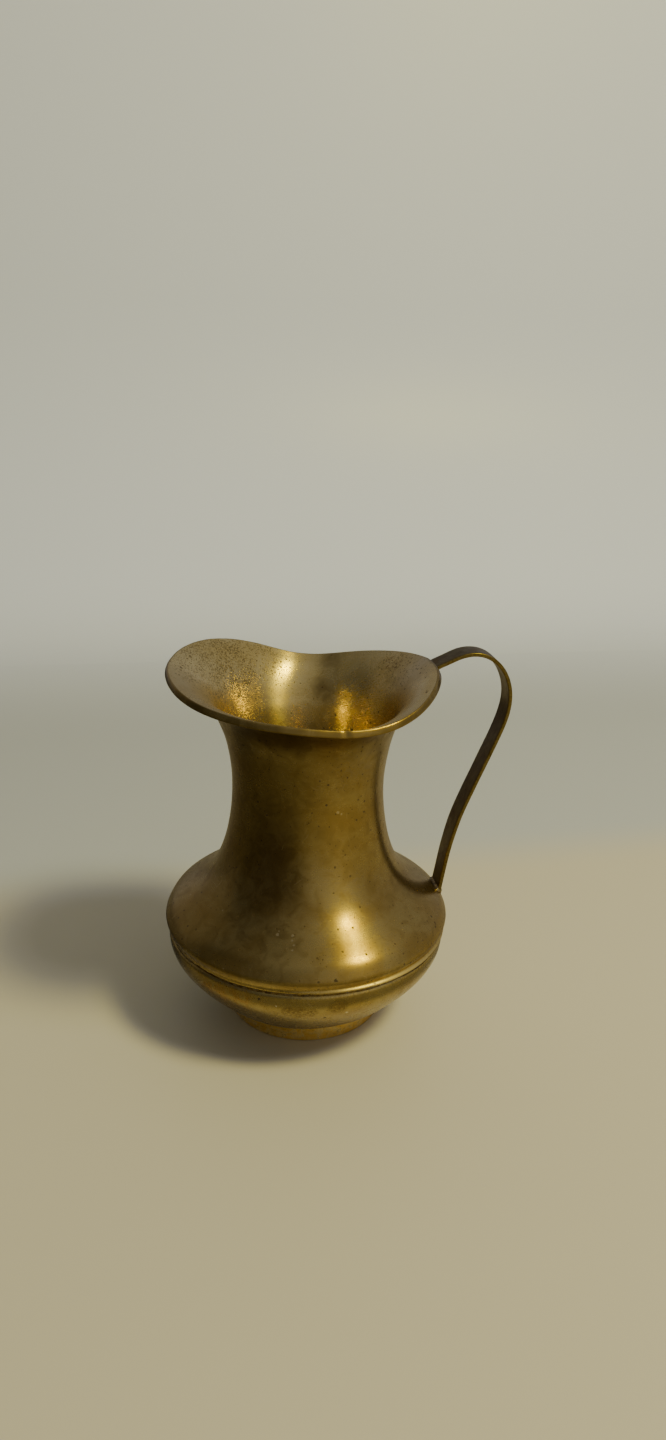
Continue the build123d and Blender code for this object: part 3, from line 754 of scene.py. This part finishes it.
def brass_bowl():
    n = Net("brass_bowl")
    along = n.attr("along")
    big = n.noise(0.055, 5, 0.55, 0.8)
    mid = n.noise(0.25, 5, 0.6, 1.0)
    fine = n.noise(1.4, 5, 0.65)
    grain = n.noise(6.0, 3, 0.6)
    rings = n.noise(2.1, 3, 0.7, flow=along)
    bands = n.noise(0.22, 2, 0.5, flow=along)
    tone = n.add(n.mul(big, 0.55), n.add(n.mul(mid, 0.3), n.mul(bands, 0.15)))
    col = n.mix(n.span(tone, 0.40, 0.62), (0.43, 0.33, 0.125), (0.38, 0.265, 0.085))
    warm = n.mul(n.spots([(-28.7, -36.7, 28.0, 9.0), (-34.0, -30.5, 26.0, 7.0), (18.0, 40.0, 24.0, 10.0), (30.0, 30.0, 20.0, 8.0)],
                         n.fray(0.2, 9.0)), n.span(mid, 0.38, 0.60))
    col = n.mix(n.mul(warm, 0.5), col, (0.42, 0.21, 0.04))
    # a darker patch on the front of the bowl just below the seam, round the dent
    front_dark_patch = n.spots([(-7.7, -44.2, 24.6, 3.4), (-11.0, -43.4, 24.9, 3.0), (-4.4, -44.6, 24.4, 2.6), (3.6, -45.8, 26.4, 3.1)],
                    n.fray(0.55, 1.7))
    front_dark_patch = n.mul(front_dark_patch, n.span(fine, 0.30, 0.62))
    col = n.mix(n.mul(front_dark_patch, 0.6), col, (0.17, 0.095, 0.025))
    film = n.span(n.noise(0.12, 5, 0.6, 1.8), 0.52, 0.72)
    col = n.mix(n.mul(film, 0.45), col, DULL)
    ring_mark = n.math("SUBTRACT", n.spots([(3.6, -45.8, 26.4, 3.7)]), n.spots([(3.6, -45.8, 26.4, 3.0)]))
    col = n.mix(n.mul(ring_mark, 0.35), col, SOOT)
    dist, pick = n.cells(0.36)
    pits = n.mul(n.span(dist, 0.22, 0.12), n.span(pick, 0.84, 0.85))
    dots = n.mul(n.span(n.add(n.noise(1.8, 4, 0.62, 0.3), n.mul(n.add(mid, -0.5), 0.3)), 0.665, 0.72), 0.8)
    marks = n.spots([(3.8, -46.3, 27.5, 0.8), (4.6, -46.0, 26.8, 0.6), (-6.0, -46.4, 28.2, 0.5), (-20.0, -41.6, 28.6, 0.6)],
                    n.fray(1.2, 0.9))
    dark = n.math("MAXIMUM", dots, n.math("MAXIMUM", n.mul(pits, 0.8), n.mul(marks, 0.9)))
    col = n.mix(dark, col, SOOT)
    hair = n.mul(scratches(n, 21), n.span(mid, 0.40, 0.62))
    nicks = n.spots([(6.5, -43.6, 23.2, 0.65), (-15.0, -43.4, 26.8, 0.4)], n.fray(1.6, 0.5))
    col = n.mix(n.mul(hair, 0.30), col, PALE)
    col = n.mix(n.mul(nicks, 0.9), col, (0.86, 0.78, 0.60))
    worn = n.mul(n.attr("rubbed"), n.span(fine, 0.35, 0.65))
    col = n.mix(n.mul(worn, 0.5), col, (0.72, 0.52, 0.16))
    rough = n.add(0.25, n.add(n.mul(n.add(mid, -0.5), 0.16), n.mul(n.add(fine, -0.5), 0.14)))
    rough = n.add(rough, n.add(n.mul(n.add(rings, -0.5), 0.10), n.mul(film, 0.10)))
    rough = n.add(rough, n.add(n.mul(dark, 0.25), n.mul(front_dark_patch, 0.08)))
    metal = n.math("SUBTRACT", 1.0, n.mul(dark, 0.55))
    height = n.add(n.mul(rings, 0.05), n.add(n.mul(fine, 0.09), n.mul(grain, 0.015)))
    height = n.add(height, n.add(n.mul(mid, 0.5), n.mul(dark, -0.22)))
    height = n.add(height, n.mul(hair, -0.08))
    n.lathe(0.7)
    return n.finish(col, rough, metal, height, 0.035)


def brass_foot():
    n = Net("brass_foot")
    along = n.attr("along")
    mid = n.noise(0.28, 5, 0.6, 1.0)
    fine = n.noise(1.5, 5, 0.65)
    grain = n.noise(6.0, 3, 0.6)
    rings = n.noise(2.6, 3, 0.7, flow=along)
    col = n.mix(n.span(mid, 0.38, 0.62), (0.90, 0.68, 0.26), (0.86, 0.56, 0.13))
    col = n.mix(n.mul(n.span(rings, 0.45, 0.75), 0.35), col, DULL)
    grime = n.math("MULTIPLY", n.span(n.noise(0.45, 5, 0.6, 1.2), 0.52, 0.70), 0.4)
    col = n.mix(grime, col, BROWN)
    dots = n.mul(n.span(n.noise(1.9, 4, 0.62), 0.66, 0.72), 0.75)
    col = n.mix(dots, col, SOOT)
    hair = scratches(n, 41)
    col = n.mix(n.mul(hair, 0.3), col, PALE)
    sep = n.new("ShaderNodeSeparateXYZ")
    n.put(sep.inputs[0], n.mm)
    base = n.mul(n.span(sep.outputs[2], 1.1, 0.25), n.span(fine, 0.38, 0.62))
    col = n.mix(n.mul(base, 0.55), col, (0.74, 0.55, 0.18))
    rough = n.add(0.30, n.add(n.mul(n.add(mid, -0.5), 0.18), n.mul(n.add(rings, -0.5), 0.16)))
    rough = n.add(rough, n.add(n.mul(dots, 0.25), n.mul(grime, 0.15)))
    metal = n.math("SUBTRACT", 0.86, n.mul(dots, 0.5))
    height = n.add(n.mul(rings, 0.12), n.add(n.mul(fine, 0.12), n.mul(grain, 0.02)))
    height = n.add(height, n.add(n.mul(mid, 0.5), n.mul(dots, -0.25)))
    n.lathe(0.7)
    return n.finish(col, rough, metal, height, 0.035)


def brass_strip():
    n = Net("brass_strip")
    along, edge, side = n.attr("along"), n.attr("edge"), n.attr("side")
    mid = n.noise(0.24, 5, 0.6, 0.8)
    fine = n.noise(1.4, 5, 0.65)
    grain = n.noise(6.0, 3, 0.6)
    col = n.mix(n.span(mid, 0.38, 0.62), (0.175, 0.132, 0.042), (0.13, 0.092, 0.027))
    tarnish = n.span(n.noise(0.15, 5, 0.65, 1.2), 0.42, 0.64)
    col = n.mix(n.mul(tarnish, 0.65), col, (0.15, 0.09, 0.022))
    inner = n.mul(n.span(side, 0.0, -0.9), n.span(mid, 0.28, 0.60))
    col = n.mix(n.mul(inner, 0.60), col, (0.13, 0.075, 0.022))
    dots = n.mul(n.span(n.add(n.noise(1.6, 4, 0.62, 0.3), n.mul(n.add(mid, -0.5), 0.35)), 0.62, 0.70), 0.8)
    col = n.mix(dots, col, SOOT)
    drag = n.noise(1.0, 2, 0.5, at=n.stretched((0.5, 3.6, 0.5)))
    col = n.mix(n.mul(n.span(drag, 0.52, 0.70), 0.25), col, DULL)
    hair = scratches(n, 61)
    col = n.mix(n.mul(hair, 0.25), col, PALE)
    bare = n.mul(n.span(edge, 0.45, 0.95), n.span(n.add(fine, n.mul(mid, 0.5)), 0.55, 0.85))
    col = n.mix(n.mul(bare, 0.6), col, (0.34, 0.25, 0.08))
    rough = n.add(0.34, n.add(n.mul(n.add(mid, -0.5), 0.2), n.mul(n.add(fine, -0.5), 0.16)))
    rough = n.add(rough, n.add(n.mul(tarnish, 0.08), n.mul(dots, 0.2)))
    rough = n.math("SUBTRACT", rough, n.mul(bare, 0.08))
    metal = n.math("SUBTRACT", 1.0, n.add(n.mul(dots, 0.45), n.mul(inner, 0.12)))
    height = n.add(n.mul(drag, 0.14), n.add(n.mul(fine, 0.12), n.mul(grain, 0.02)))
    height = n.add(height, n.add(n.mul(mid, 0.6), n.mul(dots, -0.25)))
    return n.finish(col, rough, metal, height, 0.04)


def solder_metal(name, grey, warm, dark_amount):
    """Brazed metal: lumpy, brown with flux, grey where the filler ran thin."""
    n = Net(name)
    mid = n.noise(0.45, 5, 0.6, 1.2)
    fine = n.noise(2.0, 5, 0.65)
    lumps = n.noise(0.95, 3, 0.5, 0.8)
    col = n.mix(n.span(mid, 0.36, 0.62), warm, BROWN)
    col = n.mix(n.mul(n.span(n.noise(0.30, 4, 0.6, 2.0), 0.47, 0.60), 0.85), col, grey)
    flux = n.mul(n.span(fine, 0.52, 0.70), dark_amount)
    col = n.mix(flux, col, SOOT)
    glint = n.span(n.noise(1.1, 2, 0.4), 0.66, 0.72)
    col = n.mix(n.mul(glint, 0.7), col, PALE)
    rough = n.add(0.36, n.add(n.mul(n.add(fine, -0.5), 0.3), n.mul(flux, 0.25)))
    rough = n.math("SUBTRACT", rough, n.mul(glint, 0.12))
    metal = n.math("SUBTRACT", 0.95, n.mul(flux, 0.6))
    height = n.add(n.mul(lumps, 1.0), n.mul(fine, 0.35))
    return n.finish(col, rough, metal, height, 0.09)


v, f, at = build_upper()
upper = make_piece("spun_body", v, f, ["upper_body"], at)
v, f, at = build_bowl()
bowl = make_piece("spun_bowl", v, f, ["lower_bowl"], at)
v, f, at = build_foot()
foot = make_piece("turned_foot", v, f, ["foot_ring"], at)
v, f, at = build_strap()
strap = make_piece("bent_strap", v, f, ["handle_strap"], at)
v, f, at = build_seam_bead()
seam = make_piece("seam_bead", v, f, ["seam_solder"], at)
v, f, at = build_foot_fillet()
foot_joint = make_piece("foot_fillet", v, f, ["foot_solder"], at)
v, f, at = build_lap_fill()
lap_joint = make_piece("lap_fill", v, f, ["handle_upper_solder"], at)
v, f, at = build_base_fillet()
base_joint = make_piece("base_fillet", v, f, ["handle_lower_solder"], at)

seam_metal = solder_metal("solder_seam", (0.30, 0.24, 0.14), (0.34, 0.22, 0.065), 0.55)
joint_metal = solder_metal("solder_joint", (0.36, 0.31, 0.20), (0.34, 0.22, 0.07), 0.35)
for ob, m in ((upper, brass_upper()), (bowl, brass_bowl()), (foot, brass_foot()), (strap, brass_strip()),
              (seam, seam_metal), (foot_joint, joint_metal), (lap_joint, joint_metal), (base_joint, joint_metal)):
    ob.data.materials.append(m)
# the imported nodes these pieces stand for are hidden, and take the same metals
for node, m in (("upper_body", upper), ("lower_bowl", bowl), ("foot_ring", foot), ("handle_strap", strap),
                ("seam_solder", seam), ("foot_solder", foot_joint), ("handle_upper_solder", lap_joint),
                ("handle_lower_solder", base_joint)):
    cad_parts[node].data.materials.clear()
    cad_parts[node].data.materials.append(m.data.materials[0])

# ------------------------------------------------------------------ floor and backdrop
def staged(name, verts, faces, material):
    me = bpy.data.meshes.new(name)
    me.from_pydata(verts, [], faces)
    for p in me.polygons:
        p.use_smooth = True
    ob = bpy.data.objects.new(name, me)
    bpy.context.scene.collection.objects.link(ob)
    ob.data.materials.append(material)
    return ob


n = Net("floor_pale")
sep = n.new("ShaderNodeSeparateXYZ")
n.put(sep.inputs[0], n.mm)
behind = n.add(sep.outputs[1], n.mul(sep.outputs[0], -0.057))
tint = n.mix(n.span(behind, 70, 114), (0.55, 0.505, 0.375), (0.45, 0.465, 0.455))
n.put(n.bsdf.inputs["Base Color"], n.mix(n.span(sep.outputs[1], 260, 560), tint, (0.80, 0.835, 0.89)))
n.bsdf.inputs["Roughness"].default_value = 0.40
n.bsdf.inputs["Specular IOR Level"].default_value = 0.4
pale = n.mat
floor = staged("floor", [(-3, -3, 0), (3, -3, 0), (3, 0.42, 0), (-3, 0.42, 0)], [(0, 1, 2, 3)], pale)
prof = [(0.42, 0.0)]
prof += [(0.42 + 0.26 * math.sin(t), 0.26 - 0.26 * math.cos(t)) for t in np.linspace(0, math.pi / 2, 15)[1:]]
prof += [(0.68, 2.2)]
backdrop = staged("backdrop", [(x, y, z) for y, z in prof for x in (-3.0, 3.0)],
                  [(2 * i, 2 * i + 1, 2 * i + 3, 2 * i + 2) for i in range(len(prof) - 1)], pale)
backdrop.visible_glossy = False

# painted shade: a darker card on the table round the jug, seen only in its reflections, that stands in for the shade
# on the table and is darkest on the left
SHADE_TONE = [(-180, 0.30), (-150, 0.16), (-120, 0.09), (-90, 0.07), (-60, 0.08), (-30, 0.13), (0, 0.24), (30, 0.34), (60, 0.32),
        (120, 0.30), (150, 0.32), (180, 0.30)]
radii, turns = [0.060, 0.08, 0.10, 0.14, 0.25, 0.5, 1.2], 72
card_v = [(r * math.sin(2 * math.pi * k / turns), -r * math.cos(2 * math.pi * k / turns), 0.0006) for r in radii for k in range(turns)]
card_f = [(i * turns + k, i * turns + (k + 1) % turns, (i + 1) * turns + (k + 1) % turns, (i + 1) * turns + k)
          for i in range(len(radii) - 1) for k in range(turns)]
n = Net("painted_shade_card")
shade_card = staged("painted_shade_card", card_v, card_f, n.mat)
az = [math.degrees(math.atan2(x, -y)) for x, y, z in card_v]
tone = np.interp(az, [t[0] for t in SHADE_TONE], [t[1] for t in SHADE_TONE])
inner = np.clip((np.hypot(*np.array(card_v)[:, :2].T) - 0.075) / 0.04, 0, 1)
layer = shade_card.data.attributes.new("tone", "FLOAT", "POINT")
layer.data.foreach_set("value", (0.20 + (tone - 0.20) * inner).astype(np.float32))
# the card's colour carries its painted shade, darker where the table lies in shade
n.put(n.bsdf.inputs["Base Color"], n.mix(n.attr("tone"), (0, 0, 0), (1.0, 0.93, 0.78)))
n.bsdf.inputs["Roughness"].default_value = 1.0
n.bsdf.inputs["Specular IOR Level"].default_value = 0.0
clear, both = n.new("ShaderNodeBsdfTransparent"), n.new("ShaderNodeMixShader")
n.put(both.inputs[0], n.new("ShaderNodeNewGeometry").outputs["Backfacing"])
n.put(both.inputs[1], n.bsdf.outputs[0])
n.put(both.inputs[2], clear.outputs[0])
n.put(n.tree.nodes["Material Output"].inputs["Surface"], both.outputs[0])
if shade_card.data.polygons[0].normal.z < 0:
    shade_card.data.flip_normals()
shade_card.visible_camera = shade_card.visible_diffuse = shade_card.visible_shadow = shade_card.visible_transmission = False

# ------------------------------------------------------------------ camera
PHI, K = 0.141721, 0.9
L, H, BETA, PSI, RHO = 331.356, 231.068, 0.341299, 0.0256439, 0.0220069
a = PSI + PHI
cam_at = Vector((-L * math.sin(PHI), -L * math.cos(PHI), H)) * K * 0.001
fwd = Vector((math.sin(a) * math.cos(BETA), math.cos(a) * math.cos(BETA), -math.sin(BETA)))
right = Vector((math.cos(a), -math.sin(a), 0))
up = right.cross(fwd)
r2 = right * math.cos(RHO) + up * math.sin(RHO)
u2 = up * math.cos(RHO) - right * math.sin(RHO)
cam_data = bpy.data.cameras.new("camera")
cam = bpy.data.objects.new("camera", cam_data)
bpy.context.scene.collection.objects.link(cam)
m = Matrix((r2, u2, -fwd)).transposed().to_4x4()
m.translation = cam_at
cam.matrix_world = m
cam_data.sensor_fit = "AUTO"
cam_data.sensor_width = 36
cam_data.lens = 36 * 999 / 1440
cam_data.clip_start = 0.01
bpy.context.scene.camera = cam

# ------------------------------------------------------------------ light
def aim(az, el):
    """Unit vector; azimuth 0 is towards the front (-Y), 90 towards the handle (+X)."""
    az, el = math.radians(az), math.radians(el)
    return (math.sin(az) * math.cos(el), -math.cos(az) * math.cos(el), math.sin(el))


world = bpy.data.worlds.new("studio")
bpy.context.scene.world = world
world.use_nodes = True
wt = world.node_tree
back = wt.nodes["Background"]
way = wt.nodes.new("ShaderNodeTexCoord").outputs["Generated"]


def soft_box(az, el, reach, core, color):
    """A broad soft patch of light: full within core degrees of its centre, gone at reach."""
    dot = wt.nodes.new("ShaderNodeVectorMath")
    dot.operation = "DOT_PRODUCT"
    wt.links.new(way, dot.inputs[0])
    dot.inputs[1].default_value = aim(az, el)
    rng = wt.nodes.new("ShaderNodeMapRange")
    rng.interpolation_type = "SMOOTHSTEP"
    wt.links.new(dot.outputs["Value"], rng.inputs["Value"])
    rng.inputs[1].default_value = math.cos(math.radians(reach))
    rng.inputs[2].default_value = math.cos(math.radians(core))
    tint = wt.nodes.new("ShaderNodeVectorMath")
    tint.operation = "SCALE"
    tint.inputs[0].default_value = color
    wt.links.new(rng.outputs["Result"], tint.inputs["Scale"])
    return tint.outputs["Vector"]


ROOM = (0.045, 0.045, 0.047)
total = None
for box in (soft_box(95, 20, 85, 30, (0.25, 0.246, 0.238)),
            soft_box(15, 40, 60, 10, (0.14, 0.138, 0.132)),
            soft_box(40, 85, 60, 10, (0.12, 0.12, 0.12)),
            soft_box(178, 10, 50, 10, (0.12, 0.12, 0.13)),
            soft_box(-138, 15, 48, 15, (0.13, 0.12, 0.11)),
            soft_box(-55, 3, 42, 8, (0.07, 0.068, 0.064)),
            soft_box(18, 3, 42, 8, (0.22, 0.21, 0.19))):
    if total is None:
        total = box
    else:
        s = wt.nodes.new("ShaderNodeVectorMath")
        s.operation = "ADD"
        wt.links.new(total, s.inputs[0])
        wt.links.new(box, s.inputs[1])
        total = s.outputs["Vector"]
s = wt.nodes.new("ShaderNodeVectorMath")
s.operation = "ADD"
wt.links.new(total, s.inputs[0])
s.inputs[1].default_value = ROOM
wt.links.new(s.outputs["Vector"], back.inputs["Color"])
back.inputs["Strength"].default_value = 1.0


def area(name, at, to, size, power, color=(1, 1, 1)):
    d = bpy.data.lights.new(name, "AREA")
    d.shape = "DISK"
    d.size = size
    d.energy = power
    d.color = color
    o = bpy.data.objects.new(name, d)
    bpy.context.scene.collection.objects.link(o)
    o.location = at
    o.rotation_euler = (Vector(to) - Vector(at)).to_track_quat("-Z", "Y").to_euler()
    return o


mid_point = Vector((0, 0, 0.06))
lamp = mid_point + Vector(aim(53, 55)) * 1.25
area("key", lamp, mid_point, 0.20, 7.0, (1.0, 0.86, 0.06))
fill = area("table_light", lamp, mid_point, 0.36, 8.1, (1.0, 0.98, 0.96))
fill.visible_glossy = False
